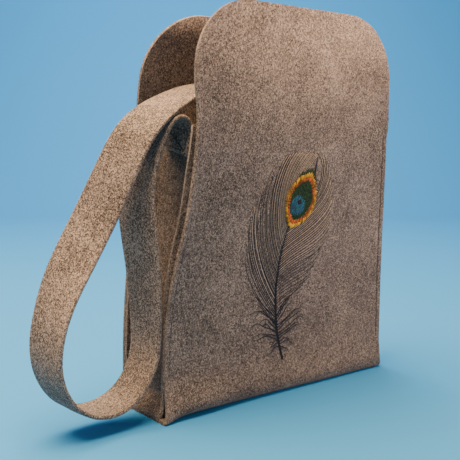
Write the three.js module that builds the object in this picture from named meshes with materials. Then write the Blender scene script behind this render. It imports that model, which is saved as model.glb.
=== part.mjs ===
// Felt shoulder bag with two standing mouth flaps, narrow side gussets, a long felt strap
// sewn to the gusset tops, and an embroidered feather on the front.
// Millimetres, +X to the bag's right, +Y to its back, +Z up, origin at the centre of the base.

import * as THREE from 'three';

// Driving dimensions
const BASE_WIDTH = 250;
const BASE_DEPTH = 64;
const FELT = 3;
const GAP = 0.3;
const BEND_RADIUS = 10;
const HINGE_HEIGHT = 247;
const FOLD = 3.6;
const FRONT_TOP = 325.6;
const BACK_TOP = 322;
const WING_RADIUS = 53;
const SIDE_INSET = 17.5;
const FRONT_LEAN = 20;
const LEAN_HEIGHT = 172;
const LEAN_POWER = 2.9;
const BACK_WING_LEAN = 20;
const FLANGE = 7;
const GUSSET_TOP = 230;
const FOOT_TOP = 6.1;
const STRAP_WIDTH = 38;
const STRAP_Y = -5;
const PATCH_BOTTOM = 199;
const PATCH_TOP = 229;
const PATCH_SLOPE = 0.07;
const BOX_STITCH = 28;
const THREAD = 0.6;
const SEAM_FROM_EDGE = 4;
const FEATHER_BOTTOM = 28;
const FEATHER_TOP = 210;
const DOWN_TOP = 66;
const EYE_HEIGHT = 171;

const FELT_COLOUR = 0x83766c;
const STRAP_COLOUR = 0x927f6e;
const THREAD_COLOUR = 0x4b4541;
const NAVY = 0x222737;

const feltBag = new THREE.Group();

function material(colour, roughness = 0.95) {
  return new THREE.MeshStandardMaterial({ color: colour, roughness, metalness: 0 });
}

function addMesh(name, geometry, colour) {
  const mesh = new THREE.Mesh(geometry, material(colour));
  mesh.name = name;
  feltBag.add(mesh);
}

// Turns every triangle over where a shape was built as its own mirror image.
function faceOut(geometry) {
  const position = geometry.attributes.position;
  const index = geometry.index.array;
  const [a, b, c] = [new THREE.Vector3(), new THREE.Vector3(), new THREE.Vector3()];
  let volume = 0;
  for (let i = 0; i < index.length; i += 3) {
    a.fromBufferAttribute(position, index[i]);
    b.fromBufferAttribute(position, index[i + 1]);
    c.fromBufferAttribute(position, index[i + 2]);
    volume += a.dot(b.cross(c));
  }
  if (volume < 0) {
    for (let i = 0; i < index.length; i += 3) {
      [index[i], index[i + 1]] = [index[i + 1], index[i]];
    }
  }
}

// A box of across x 1 x along cells whose corners at(u, v, w) places: u runs across the sheet,
// v along it and w through its thickness, each from 0 to 1.
function addSheet(name, colour, across, along, at) {
  const geometry = new THREE.BoxGeometry(1, 1, 1, across, 1, along);
  const position = geometry.attributes.position;
  for (let i = 0; i < position.count; i += 1) {
    const [x, y, z] = at(position.getX(i) + 0.5, position.getZ(i) + 0.5, position.getY(i) + 0.5);
    position.setXYZ(i, x, y, z);
  }
  faceOut(geometry);
  addMesh(name, geometry, colour);
}

const mix = THREE.MathUtils.lerp;

// How far the sides have drawn in and the front has leaned out at a height, from 0 to 1.
function rise(z) {
  return 1 - Math.exp(-((Math.max(z, 0) / LEAN_HEIGHT) ** LEAN_POWER));
}

// Distance from the centre line to the raw side edge, rounded at the top of a wing.
function halfWidth(z, top) {
  const above = Math.max(0, z - (top - WING_RADIUS));
  const corner = WING_RADIUS - Math.sqrt(Math.max(0, WING_RADIUS ** 2 - above ** 2));
  return BASE_WIDTH / 2 - SIDE_INSET * rise(z) - corner;
}

// Distance in from a wall's full depth to a skin that lies so far inside it. Low down, the wall
// and its skins turn round the bend into the base.
function inward(z, skin) {
  const below = Math.max(0, BEND_RADIUS - z);
  if (below === 0) {
    return skin;
  }
  return BEND_RADIUS - Math.sqrt(Math.max(0, (BEND_RADIUS - skin) ** 2 - below ** 2));
}

function frontFace(z, skin = 0) {
  return -BASE_DEPTH / 2 - FRONT_LEAN * rise(z) + inward(z, skin);
}

function backFace(z, skin = 0) {
  const above = Math.max(0, z - HINGE_HEIGHT) / (BACK_TOP - HINGE_HEIGHT);
  return BASE_DEPTH / 2 - BACK_WING_LEAN * above ** 1.5 - inward(z, skin);
}

// Walls and wings: u left to right, v bottom to top.
function wall(face, top, low, high) {
  return (u, v, w) => {
    const z = mix(low, high, v);
    const half = halfWidth(z, top);
    return [mix(-half, half, u), face(z, w * FELT), z];
  };
}

const FOLD_LOW = HINGE_HEIGHT - FOLD / 2;
const FOLD_HIGH = HINGE_HEIGHT + FOLD / 2;

addSheet('front_panel', FELT_COLOUR, 4, 14,
  wall(frontFace, FRONT_TOP, BEND_RADIUS + GAP / 2, FOLD_LOW - GAP));
addSheet('back_panel', FELT_COLOUR, 4, 14,
  wall(backFace, BACK_TOP, BEND_RADIUS + GAP / 2, FOLD_LOW - GAP));

// The line across each wall where its wing folds.
addSheet('front_fold', FELT_COLOUR, 4, 1, wall(frontFace, FRONT_TOP, FOLD_LOW, FOLD_HIGH));
addSheet('back_fold', FELT_COLOUR, 4, 1, wall(backFace, BACK_TOP, FOLD_LOW, FOLD_HIGH));

// Rows crowd together toward a wing's top, where its corners turn over.
function wing(face, top) {
  const at = wall(face, top, FOLD_HIGH + GAP, top);
  return (u, v, w) => at(u, Math.sin(v * Math.PI / 2), w);
}

addSheet('front_wing', FELT_COLOUR, 4, 10, wing(frontFace, FRONT_TOP));
addSheet('back_wing', FELT_COLOUR, 4, 10, wing(backFace, BACK_TOP));

// Base: a flat floor with a quarter bend up at the front and the back.
addSheet('bottom_panel', FELT_COLOUR, 2, 18, (u, v, w) => {
  const flat = BASE_DEPTH / 2 - BEND_RADIUS;
  const x = mix(-BASE_WIDTH / 2, BASE_WIDTH / 2, u);
  const radius = BEND_RADIUS - w * FELT;
  const front = v < 0.5;
  const turn = Math.max(0, 1 - Math.min(v, 1 - v) / 0.35) * Math.PI / 2;
  const side = front ? -1 : 1;
  const along = flat * Math.max(0, Math.abs(v - 0.5) < 0.15 ? Math.abs(v - 0.5) / 0.15 : 1);
  return [x, side * (along + radius * Math.sin(turn)), BEND_RADIUS - radius * Math.cos(turn)];
});

// Gussets: a web set in from the raw edges, with a flange turned out along each wall and
// another, the foot, along the base.
function addGusset(name, side) {
  addSheet(name, FELT_COLOUR, 3, 12, (u, v, w) => {
    const z = mix(FOOT_TOP + GAP, GUSSET_TOP, v);
    const edge = BASE_WIDTH / 2 - SIDE_INSET * rise(z);
    const web = edge - FLANGE - w * FELT;
    const skin = FELT + GAP + (1 - w) * FELT;
    const step = Math.round(u * 3);
    const out = step === 0 || step === 3 ? edge : web;
    const y = step < 2 ? frontFace(z, skin) : backFace(z, skin);
    return [side * out, y, z];
  });
  addSheet(`${name}_foot`, FELT_COLOUR, 1, 1, (u, v, w) => [
    side * (BASE_WIDTH / 2 - w * (FLANGE + FELT)),
    (u - 0.5) * (BASE_DEPTH - 2 * BEND_RADIUS),
    mix(FELT + GAP, FOOT_TOP, v),
  ]);
}

addGusset('gusset_left', -1);
addGusset('gusset_right', 1);

// The strap's middle line with the turn of its face, from the left gusset's outer face, down
// and round the hanging loop, up over the left rim, across the mouth and onto the right gusset.
const strapRoute = [
  [-106.8, STRAP_Y, PATCH_BOTTOM, 0],
  [-105.7, STRAP_Y, 214, 0],
  [-105, STRAP_Y, PATCH_TOP, 0],
  [-110.5, STRAP_Y, 233.6, 0],
  [-117.5, STRAP_Y, 225, 2],
  [-126.5, -6, 204, 9],
  [-134, -8, 176, 15],
  [-134, -11, 148, 17],
  [-131.5, -12.5, 115, 12],
  [-129.5, -12, 80, 8],
  [-131.5, -10.5, 47, 4],
  [-153.5, -10.5, 19, 3],
  [-190, -12, 19.5, -3],
  [-212, -13, 51, -9],
  [-208.5, -12, 90, -15],
  [-192, -9, 125, -29],
  [-171.5, -6.5, 158, -35],
  [-153.5, -8.5, 193, -31],
  [-132.5, -10, 227.5, -25],
  [-100, -10, 250.5, -13],
  [-64, -9, 263, -4],
  [-25, -9, 264, 0],
  [20, -8, 257, 0],
  [62, -6, 248, 0],
  [88, STRAP_Y, 243.5, 0],
  [99.5, STRAP_Y, 242, 0],
  [106.2, STRAP_Y, 236, 0],
  [105, STRAP_Y, PATCH_TOP, 0],
  [105.7, STRAP_Y, 214, 0],
  [106.8, STRAP_Y, PATCH_BOTTOM, 0],
];
const strapLine = new THREE.CatmullRomCurve3(strapRoute.map(([x, y, z]) => new THREE.Vector3(x, y, z)));
const yAxis = new THREE.Vector3(0, 1, 0);

function addStrap(name, first, last, stepsEach) {
  const steps = Math.round((last - first) * stepsEach);
  const count = strapRoute.length - 1;
  addSheet(name, STRAP_COLOUR, 1, steps, (u, v, w) => {
    const start = first + (first > 0 ? 0.01 : 0);
    const end = last - (last < count ? 0.01 : 0);
    const station = mix(start, end, v);
    const base = Math.min(Math.floor(station), count - 1);
    const turn = mix(strapRoute[base][3], strapRoute[base + 1][3], station - base) * Math.PI / 180;
    const centre = strapLine.getPoint(station / count);
    const tangent = strapLine.getTangent(station / count);
    const level = yAxis.clone().addScaledVector(tangent, -tangent.y).normalize();
    const normal = new THREE.Vector3().crossVectors(tangent, level);
    const across = level.clone().multiplyScalar(Math.cos(turn)).addScaledVector(normal, -Math.sin(turn));
    const face = new THREE.Vector3().crossVectors(tangent, across);
    centre.addScaledVector(across, (u - 0.5) * STRAP_WIDTH);
    centre.addScaledVector(face, (w - 0.5) * (FELT - GAP));
    return centre.toArray();
  });
}

addStrap('strap_left_end', 0, 3.5, 4);
addStrap('strap_return_fold', 3.5, 4.6, 4);
addStrap('strap_return_strand', 4.6, 10, 2);
addStrap('strap_loop_bottom', 10, 13, 4);
addStrap('strap_outer_strand', 13, 18.2, 2);
addStrap('strap_rim_fold', 18.2, 19.4, 4);
addStrap('strap_mouth_span', 19.4, 25, 2);
addStrap('strap_right_end', 25, 29, 4);

// Lines of thread along the seams, one down each raw edge of the front and the back.
function addSeam(name, face, side) {
  addSheet(name, THREAD_COLOUR, 1, 14, (u, v, w) => {
    const z = mix(BEND_RADIUS + 2, GUSSET_TOP - 2, v);
    const line = BASE_WIDTH / 2 - SIDE_INSET * rise(z) - SEAM_FROM_EDGE;
    return [side * line + (u - 0.5) * 1.2, face(z, -GAP - w * THREAD), z];
  });
}

addSeam('seam_thread_front_left', frontFace, -1);
addSeam('seam_thread_front_right', frontFace, 1);
addSeam('seam_thread_back_left', backFace, -1);
addSeam('seam_thread_back_right', backFace, 1);

// A square of stitches with a cross in it, which holds each end of the strap.
function addBoxStitch(name, side) {
  const half = BOX_STITCH / 2;
  const line = 0.6;
  const frame = new THREE.Shape();
  frame.moveTo(-half, -half);
  frame.lineTo(half, -half);
  frame.lineTo(half, half);
  frame.lineTo(-half, half);
  frame.closePath();
  for (let quarter = 0; quarter < 4; quarter += 1) {
    const angle = quarter * Math.PI / 2;
    const hole = new THREE.Path();
    const corners = [[line * 1.4, 0], [half - line, half - line * 2.4], [half - line, line * 2.4 - half]];
    const turned = corners.map(([a, b]) => new THREE.Vector2(a, b).rotateAround(new THREE.Vector2(), angle));
    hole.setFromPoints(turned);
    hole.closePath();
    frame.holes.push(hole);
  }
  const geometry = new THREE.ExtrudeGeometry(frame, { depth: THREAD, bevelEnabled: false });
  const mesh = new THREE.Mesh(geometry, material(THREAD_COLOUR));
  mesh.name = name;
  mesh.rotation.y = side * Math.PI / 2;
  const slope = new THREE.Group();
  slope.rotation.y = -side * Math.atan(PATCH_SLOPE);
  slope.position.set(side * (105.8 + FELT / 2 + GAP), STRAP_Y, 213.5);
  slope.add(mesh);
  feltBag.add(slope);
}

addBoxStitch('box_stitch_left', -1);
addBoxStitch('box_stitch_right', 1);

// Feather: a slightly slanting shaft, two vanes, a tuft of down, and a round eye of five colours.
function shaft(z) {
  const t = (z - FEATHER_BOTTOM) / (FEATHER_TOP - FEATHER_BOTTOM);
  return -2.3 - 63 * t + 86 * t ** 2;
}

function vaneWidth(z, full) {
  const t = THREE.MathUtils.clamp((z - DOWN_TOP) / (FEATHER_TOP - DOWN_TOP), 0, 1);
  return 1.5 + full * Math.sin(Math.PI * (0.12 + 0.88 * t) ** 0.9) ** 0.8;
}

// A flat patch of stitches that lies on the front, from one side line to the other.
function addPatch(name, colour, low, high, lift, across, left, right) {
  addSheet(name, colour, across, 12, (u, v, w) => {
    const z = mix(low, high, v);
    return [mix(left(z), right(z), u), frontFace(z) - lift - (1 - w) * THREAD, z];
  });
}

addPatch('feather_shaft', NAVY, FEATHER_BOTTOM, EYE_HEIGHT - 22, GAP, 1,
  (z) => shaft(z) - 0.8, (z) => shaft(z) + 0.8);
addPatch('feather_vane_left', NAVY, DOWN_TOP, FEATHER_TOP - 4, GAP, 2,
  (z) => shaft(z) - 1.1 - vaneWidth(z, 38), (z) => shaft(z) - 1.1);
addPatch('feather_vane_right', NAVY, DOWN_TOP, FEATHER_TOP - 4, GAP, 2,
  (z) => shaft(z) + 1.1, (z) => shaft(z) + 1.1 + vaneWidth(z, 40));
addPatch('feather_down_left', NAVY, FEATHER_BOTTOM + 10, DOWN_TOP - 0.4, GAP, 2,
  (z) => shaft(z) - 1.1 - 18 * Math.sin((z - 30) / 11), (z) => shaft(z) - 1.1);
addPatch('feather_down_right', NAVY, FEATHER_BOTTOM + 10, DOWN_TOP - 0.4, GAP, 2,
  (z) => shaft(z) + 1.1, (z) => shaft(z) + 1.1 + 16 * Math.sin((z - 30) / 11));

// The eye's rings and its middle are raised above the vanes.
function addRing(name, colour, halfAcross, halfUp, thickness) {
  const geometry = new THREE.TorusGeometry(1, 0.1, 6, 32);
  const position = geometry.attributes.position;
  const lift = 2 * GAP + THREAD * 1.6;
  for (let i = 0; i < position.count; i += 1) {
    const x = position.getX(i);
    const up = position.getY(i);
    const radius = Math.hypot(x, up);
    const outward = (radius - 1) * 10 * thickness;
    const z = EYE_HEIGHT + (up / radius) * (halfUp + outward);
    const shift = shaft(EYE_HEIGHT) + 6 + (x / radius) * (halfAcross + outward);
    position.setXYZ(i, shift, frontFace(z) - lift - position.getZ(i) * 5 * THREAD, z);
  }
  faceOut(geometry);
  addMesh(name, geometry, colour);
}

addRing('feather_eye_gold', 0xd3a02a, 16.2, 21.5, 1.5);
addRing('feather_eye_bronze', 0xb9602a, 12.6, 17.8, 1.5);
addRing('feather_eye_green', 0x24503a, 8.6, 13.4, 2);
addRing('feather_eye_blue', 0x2f6c86, 4.2, 6.2, 1.6);

export default feltBag;
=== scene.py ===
import math

import bpy
import numpy as np
from bpy.props import FloatProperty, FloatVectorProperty, IntProperty, PointerProperty
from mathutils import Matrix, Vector


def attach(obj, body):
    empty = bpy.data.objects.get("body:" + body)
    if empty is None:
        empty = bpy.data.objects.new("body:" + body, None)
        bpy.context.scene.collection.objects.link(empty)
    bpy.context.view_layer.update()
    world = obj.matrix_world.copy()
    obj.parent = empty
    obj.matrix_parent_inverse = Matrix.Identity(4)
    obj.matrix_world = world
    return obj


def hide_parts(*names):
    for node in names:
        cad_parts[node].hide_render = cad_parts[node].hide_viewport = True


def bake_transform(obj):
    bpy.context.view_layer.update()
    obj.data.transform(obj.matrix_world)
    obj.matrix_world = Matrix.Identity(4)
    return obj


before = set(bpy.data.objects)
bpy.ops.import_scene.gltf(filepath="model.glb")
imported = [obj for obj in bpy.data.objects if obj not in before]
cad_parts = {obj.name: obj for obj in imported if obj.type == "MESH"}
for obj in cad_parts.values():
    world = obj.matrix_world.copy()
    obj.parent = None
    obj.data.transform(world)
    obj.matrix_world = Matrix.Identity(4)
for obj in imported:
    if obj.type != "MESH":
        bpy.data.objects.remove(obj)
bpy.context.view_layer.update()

bl_info = {
    "name": "Felt Bag",
    "version": (1, 0, 0),
    "blender": (4, 5, 0),
    "location": "View3D > Sidebar > Felt Bag",
    "description": "Builds a thick felt shoulder bag with an embroidered feather",
    "category": "Object",
}

# The bag's pattern, in metres, as the solids in the frame have it.
BASE_WIDTH = 0.250
BASE_DEPTH = 0.064
BEND_RADIUS = 0.010
HINGE_HEIGHT = 0.247
FRONT_TOP = 0.3256
BACK_TOP = 0.322
WING_RADIUS = 0.053
SIDE_INSET = 0.0175
FRONT_LEAN = 0.020
LEAN_HEIGHT = 0.172
LEAN_POWER = 2.9
BACK_WING_LEAN = 0.020
FLANGE = 0.007
GUSSET_TOP = 0.230
CLEARANCE = 0.0003
STRAP_Y = -0.005
SEAM_INSET = 0.0042
SEAM_FOOT = 0.013
STITCH_GAP = 0.0009
BOX_STITCH = 0.0030
BOX_GAP = 0.0007
# How fast the paler standing fibres and the painted edge highlight fade away from a cut edge.
RAW_EDGE_FADE = 0.0009
STRAP_EDGE_FADE = 0.0007

# The strap's middle line and the turn of its face in degrees, from the left gusset's outer
# face, round the hanging loop, over the left rim and the mouth, to the right gusset.
STRAP_ROUTE = (
    (-0.0978, -0.0075, 0.2100, 0),
    (-0.0968, -0.0097, 0.2200, 0),
    (-0.0974, -0.0117, 0.2300, 0),
    (-0.1028, -0.0124, 0.2362, 0),
    (-0.1105, -0.0108, 0.2335, 0),
    (-0.1203, -0.0080, 0.2180, 4),
    (-0.1290, -0.0066, 0.1960, 11),
    (-0.1337, -0.0080, 0.1740, 15),
    (-0.1340, -0.0110, 0.1480, 17),
    (-0.1315, -0.0125, 0.1150, 12),
    (-0.1295, -0.0120, 0.0800, 8),
    (-0.1315, -0.0105, 0.0470, 4),
    (-0.1535, -0.0105, 0.0190, 3),
    (-0.1900, -0.0120, 0.0195, -3),
    (-0.2120, -0.0130, 0.0510, -9),
    (-0.2085, -0.0120, 0.0900, -15),
    (-0.1920, -0.0090, 0.1250, -29),
    (-0.1715, -0.0065, 0.1580, -35),
    (-0.1535, -0.0085, 0.1930, -31),
    (-0.1325, -0.0100, 0.2275, -25),
    (-0.1000, -0.0100, 0.2505, -13),
    (-0.0640, -0.0090, 0.2630, -4),
    (-0.0250, -0.0090, 0.2640, 0),
    (0.0200, -0.0080, 0.2570, 0),
    (0.0620, -0.0060, 0.2480, 0),
    (0.0880, STRAP_Y, 0.2435, 0),
    (0.0995, STRAP_Y, 0.2420, 0),
    (0.1060, STRAP_Y, 0.2360, 0),
    (0.1042, STRAP_Y, 0.2285, 0),
    (0.1049, STRAP_Y, 0.214, 0),
    (0.1060, STRAP_Y, 0.199, 0),
)

# The feather: its shaft's foot and tip, the slanting oval its barbs fill, and its eye.
QUILL_FOOT = 0.028
FEATHER_TIP = 0.210
SHAFT_TOP = 0.147
OVAL_CENTRE = (-0.004, 0.146)
OVAL_LONG = 0.067
OVAL_SHORT = 0.0450
OVAL_SLANT = math.radians(14)
EYE_CENTRE = (0.0046, 0.1688)
EYE_SLANT = math.radians(22)
EYE_LONG = 0.0248
EYE_SHORT = 0.0170
BARB_POINTS = 16

# The shaft's tip above the eye: x, z and how widely its threads are fanned out there.
SHAFT_TIP = (
    (0.0168, 0.186, 1.0),
    (0.0180, 0.192, 1.0),
    (0.0195, 0.198, 0.4),
    (0.0203, 0.2048, 0.0),
)

# The studio: each lamp's name, place, aim, size, power, colour and spread in degrees.
LAMPS = (
    ("key", (0.20, -0.38, 0.41), (0.04, -0.05, 0.485), 0.10, 1.52, (1.0, 0.67, 0.44), 76),
    ("fill", (0.33, -0.40, 0.16), (0.05, -0.04, 0.165), 0.20, 0.24, (1.0, 0.70, 0.54), 66),
    ("side", (-0.26, 0.10, 1.26), (-0.12, 0.0, 0.15), 1.30, 53.0, (1.0, 0.67, 0.39), 180),
    ("backdrop", (0.5, 1.1, 1.9), (1.6, 2.1, 0.5), 1.4, 52.0, (0.68, 0.83, 0.71), 180),
)
BOUNCE_COLOUR = (0.10, 0.26, 0.52, 1)
WORLD_COLOUR = (0.93, 0.92, 1.0, 1)
WORLD_STRENGTH = 0.18

# The camera: its place, its turn and dip in degrees, and its lens and sensor in millimetres.
CAMERA_PLACE = (-0.43475, -0.50675, 0.21375)
CAMERA_TURN = -38.2
CAMERA_DIP = 6.317
CAMERA_LENS = 58.9382609
SENSOR_WIDTH = 36.0


# Sizes and colours a user would change.

class FeltBagSizes(bpy.types.PropertyGroup):
    felt: FloatProperty(
        name="Felt thickness", description="Thickness of the bag's felt",
        default=0.003, min=0.001, max=0.006, unit="LENGTH")
    strap_width: FloatProperty(
        name="Strap width", description="Width of the felt strap",
        default=0.038, min=0.015, max=0.060, unit="LENGTH")
    stitch: FloatProperty(
        name="Stitch length", description="Length of one seam stitch",
        default=0.0036, min=0.001, max=0.008, unit="LENGTH")
    seam_thread: FloatProperty(
        name="Seam thread", description="Radius of the seam thread",
        default=0.00036, min=0.0001, max=0.001, unit="LENGTH")
    barb_thread: FloatProperty(
        name="Barb thread", description="Radius of the thread a feather barb is sewn with",
        default=0.00025, min=0.0001, max=0.001, unit="LENGTH")
    barbs: IntProperty(
        name="Barbs", description="Number of barbs on one side of the feather",
        default=48, min=10, max=120)


class FeltBagColours(bpy.types.PropertyGroup):
    felt_dark: FloatVectorProperty(
        name="Dark wool", description="Colour of the darkest wool fibres",
        default=(0.034, 0.032, 0.030), size=3, min=0, max=1, subtype="COLOR")
    felt_mid: FloatVectorProperty(
        name="Wool", description="Main colour of the wool",
        default=(0.192, 0.157, 0.140), size=3, min=0, max=1, subtype="COLOR")
    felt_light: FloatVectorProperty(
        name="Light wool", description="Colour of the lightest wool fibres",
        default=(0.60, 0.49, 0.40), size=3, min=0, max=1, subtype="COLOR")
    seam: FloatVectorProperty(
        name="Seam thread", description="Colour of the seam thread",
        default=(0.085, 0.072, 0.064), size=3, min=0, max=1, subtype="COLOR")
    navy: FloatVectorProperty(
        name="Navy thread", description="Colour of the feather's dark thread",
        default=(0.010, 0.012, 0.024), size=3, min=0, max=1, subtype="COLOR")
    cream: FloatVectorProperty(
        name="Cream thread", description="Colour of the feather's light thread",
        default=(0.85, 0.67, 0.48), size=3, min=0, max=1, subtype="COLOR")
    gold: FloatVectorProperty(
        name="Gold thread", description="Colour of the eye's outer ring",
        default=(0.88, 0.50, 0.020), size=3, min=0, max=1, subtype="COLOR")
    bronze: FloatVectorProperty(
        name="Orange thread", description="Colour of the eye's second ring",
        default=(0.70, 0.15, 0.015), size=3, min=0, max=1, subtype="COLOR")
    green: FloatVectorProperty(
        name="Green thread", description="Colour of the eye's field",
        default=(0.010, 0.060, 0.016), size=3, min=0, max=1, subtype="COLOR")
    blue: FloatVectorProperty(
        name="Blue thread", description="Colour of the eye's heart",
        default=(0.020, 0.17, 0.27), size=3, min=0, max=1, subtype="COLOR")
    floor: FloatVectorProperty(
        name="Floor", description="Colour of the studio floor",
        default=(0.064, 0.42, 0.97), size=3, min=0, max=1, subtype="COLOR")


# No simulation is used: stiff felt holds the shape it was cut and sewn to, so every sheet is a
# formula surface.

# Shared shape functions. Each takes and gives whole arrays.

def soft_step(t):
    """Smooth step: 3t^2 - 2t^3 with t held between 0 and 1."""
    t = np.clip(t, 0, 1)
    return t * t * (3 - 2 * t)


def ripple(a, b, wavelength, seed):
    """Gentle waves between -1 and 1: the mean of five sines in directions set by the seed."""
    turn = np.random.default_rng(seed)
    total = 0
    for k in range(5):
        angle = turn.uniform(0, math.tau)
        phase = turn.uniform(0, math.tau)
        stretch = turn.uniform(0.7, 1.6)
        across = (a * math.cos(angle) + b * math.sin(angle)) * math.tau / (wavelength * stretch)
        total = total + np.sin(across + phase)
    return total / 5


def rise(z):
    """Share of the lean and inset reached at a height: 1 - exp(-(z / scale) ^ power)."""
    return 1 - np.exp(-((np.maximum(z, 0) / LEAN_HEIGHT) ** LEAN_POWER))


def half_width(z, top):
    """Half the bag's width at a height: it draws in as it rises, and a wing's top corners are arcs."""
    above = np.maximum(0, z - (top - WING_RADIUS))
    corner = WING_RADIUS - np.sqrt(np.maximum(0, WING_RADIUS ** 2 - above ** 2))
    return BASE_WIDTH / 2 - SIDE_INSET * rise(z) - corner


def from_raw_edge(x, z, top):
    """Distance from a wall's nearest raw edge: to the side, to the top, or to the corner's arc."""
    side = BASE_WIDTH / 2 - SIDE_INSET * rise(z) - np.abs(x)
    above = top - z
    inside = (side < WING_RADIUS) & (above < WING_RADIUS)
    arc = WING_RADIUS - np.hypot(WING_RADIUS - side, WING_RADIUS - above)
    return np.where(inside, arc, np.minimum(side, above))


def furrow(side, z, depth):
    """The shallow groove a side seam pulls into a wall, at a distance from the wall's raw edge."""
    seam = soft_step(z / 0.02) * (1 - soft_step((z - 0.226) / 0.01))
    return -depth * seam * np.exp(-(((side - SEAM_INSET) / 0.0012) ** 2))


def front_relief(x, z):
    """How far the front stands out of its smooth lean: slow waves, a left edge that curls
    forward above the base, and a shallow furrow along each seam."""
    side = half_width(z, FRONT_TOP) - np.abs(x)
    along = soft_step((z - 0.06) / 0.09) * (1 - soft_step((z - 0.215) / 0.05))
    curl = 0.0022 * along * np.clip(1 - side / 0.012, 0, 1) ** 2 * (x < 0)
    waves = 0.0011 * ripple(x, z, 0.11, 4) + 0.00045 * ripple(x, z, 0.034, 9)
    calm = soft_step((z - 0.004) / 0.03)
    return curl + furrow(side, z, 0.0004) + waves * calm


def front_face(x, z):
    """Y of the front's outer face."""
    return -BASE_DEPTH / 2 - FRONT_LEAN * rise(z) - front_relief(x, z)


def back_face(x, z):
    """Y of the back's outer face: upright, then the wing bows in toward the mouth."""
    side = half_width(z, BACK_TOP) - np.abs(x)
    above = np.maximum(0, z - HINGE_HEIGHT) / (BACK_TOP - HINGE_HEIGHT)
    waves = 0.0012 * ripple(x, z, 0.12, 21) + 0.0004 * ripple(x, z, 0.035, 22)
    calm = soft_step((z - 0.004) / 0.03)
    lean = BACK_WING_LEAN * above ** 1.5
    return BASE_DEPTH / 2 - lean + furrow(side, z, 0.0009) + waves * calm


def tuck(x, z):
    """How far the front's side edges are drawn in: the left one where its seam ends at the
    mouth, and the right one all along its seam, so that the flange behind shows beyond it."""
    held = soft_step((z - 0.10) / 0.07) * (1 - soft_step((z - 0.232) / 0.035))
    sewn = soft_step(z / 0.012) * (1 - soft_step((z - 0.218) / 0.014))
    return (0.0044 * held * soft_step((-x - 0.055) / 0.06)
            - 0.0024 * sewn * soft_step((x - 0.06) / 0.05))


def share_across(x):
    """How far across the base a place is: 0 at its left end and 1 at its right."""
    return np.clip((x + BASE_WIDTH / 2) / BASE_WIDTH, 0, 1)


def base_lift(x):
    """How far the front's lower bend stands off the floor between the bag's corners."""
    share = share_across(x)
    return 0.0008 * soft_step((share - 0.03) / 0.15) * (1 - soft_step((share - 0.30) / 0.5))


def spline(points, count):
    """Natural cubic spline through the points, spaced by the square root of their distances,
    read at count places evenly spaced along its length."""
    points = np.asarray(points, float)
    steps = np.sqrt(np.linalg.norm(np.diff(points[:, :3], axis=0), axis=1))
    knots = np.concatenate([[0], np.cumsum(steps)])
    n = len(points)
    system = np.eye(n)
    right = np.zeros_like(points)
    slopes = np.diff(points, axis=0) / steps[:, None]
    inner = np.arange(1, n - 1)
    system[inner, inner - 1] = steps[:-1]
    system[inner, inner] = 2 * (steps[:-1] + steps[1:])
    system[inner, inner + 1] = steps[1:]
    right[inner] = 6 * np.diff(slopes, axis=0)
    bend = np.linalg.solve(system, right)

    def read(t):
        k = np.clip(np.searchsorted(knots, t, side="right") - 1, 0, n - 2)
        h = steps[k][:, None]
        a = (knots[k + 1] - t)[:, None]
        b = (t - knots[k])[:, None]
        return ((bend[k] * a ** 3 + bend[k + 1] * b ** 3) / (6 * h)
                + (points[k] / h - bend[k] * h / 6) * a
                + (points[k + 1] / h - bend[k + 1] * h / 6) * b)

    fine = np.linspace(0, knots[-1], 4000)
    pieces = np.linalg.norm(np.diff(read(fine)[:, :3], axis=0), axis=1)
    length = np.concatenate([[0], np.cumsum(pieces)])
    return read(np.interp(np.linspace(0, length[-1], count), length, fine)), length[-1]


# Mesh makers.

def grid_faces(rows, columns, closed=False):
    """Quads of a grid of points, row by row. A closed grid joins its last column to its first."""
    index = np.arange(rows * columns).reshape(rows, columns)
    following = np.roll(index, -1, axis=1) if closed else index[:, 1:]
    index = index if closed else index[:, :-1]
    return np.stack([index[:-1], following[:-1], following[1:], index[1:]], axis=-1).reshape(-1, 4)


def add_piece(name, points, faces, material, outward=None):
    """Makes an object of a mesh whose faces point outwards: an open sheet's along the outward
    direction, a closed solid's away from its inside, by the sign of its volume."""
    points = np.asarray(points, float).reshape(-1, 3)
    corners = points[np.array([face[:3] for face in faces])]
    turn = np.cross(corners[:, 1] - corners[:, 0], corners[:, 2] - corners[:, 0])
    if outward is None:
        signed = np.einsum("ij,ij->i", corners.mean(axis=1) - points.mean(axis=0), turn).sum()
    else:
        signed = (turn @ np.asarray(outward, float)).sum()
    if signed < 0:
        faces = [tuple(reversed(face)) for face in faces]
    mesh = bpy.data.meshes.new(name)
    mesh.from_pydata(points.tolist(), [], [tuple(int(i) for i in face) for face in faces])
    mesh.polygons.foreach_set("use_smooth", np.full(len(mesh.polygons), True))
    mesh.materials.append(material)
    mesh.validate()
    piece = bpy.data.objects.new(name, mesh)
    bpy.context.scene.collection.objects.link(piece)
    return piece


def paint(piece, attribute, values):
    """Stores one number for each point of a piece's mesh."""
    layer = piece.data.attributes.new(attribute, "FLOAT", "POINT")
    layer.data.foreach_set("value", np.asarray(values, np.float32).ravel())


def thicken(piece, thickness, even=True):
    """Gives a sheet its thickness on the inside, and softens its cut edges."""
    shell = piece.modifiers.new("Thickness", "SOLIDIFY")
    shell.thickness = thickness
    shell.offset = -1
    shell.use_even_offset = even
    edge = piece.modifiers.new("Cut edge", "BEVEL")
    edge.width = thickness * 0.4
    edge.segments = 3
    edge.limit_method = "ANGLE"
    edge.angle_limit = math.radians(55)


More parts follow.
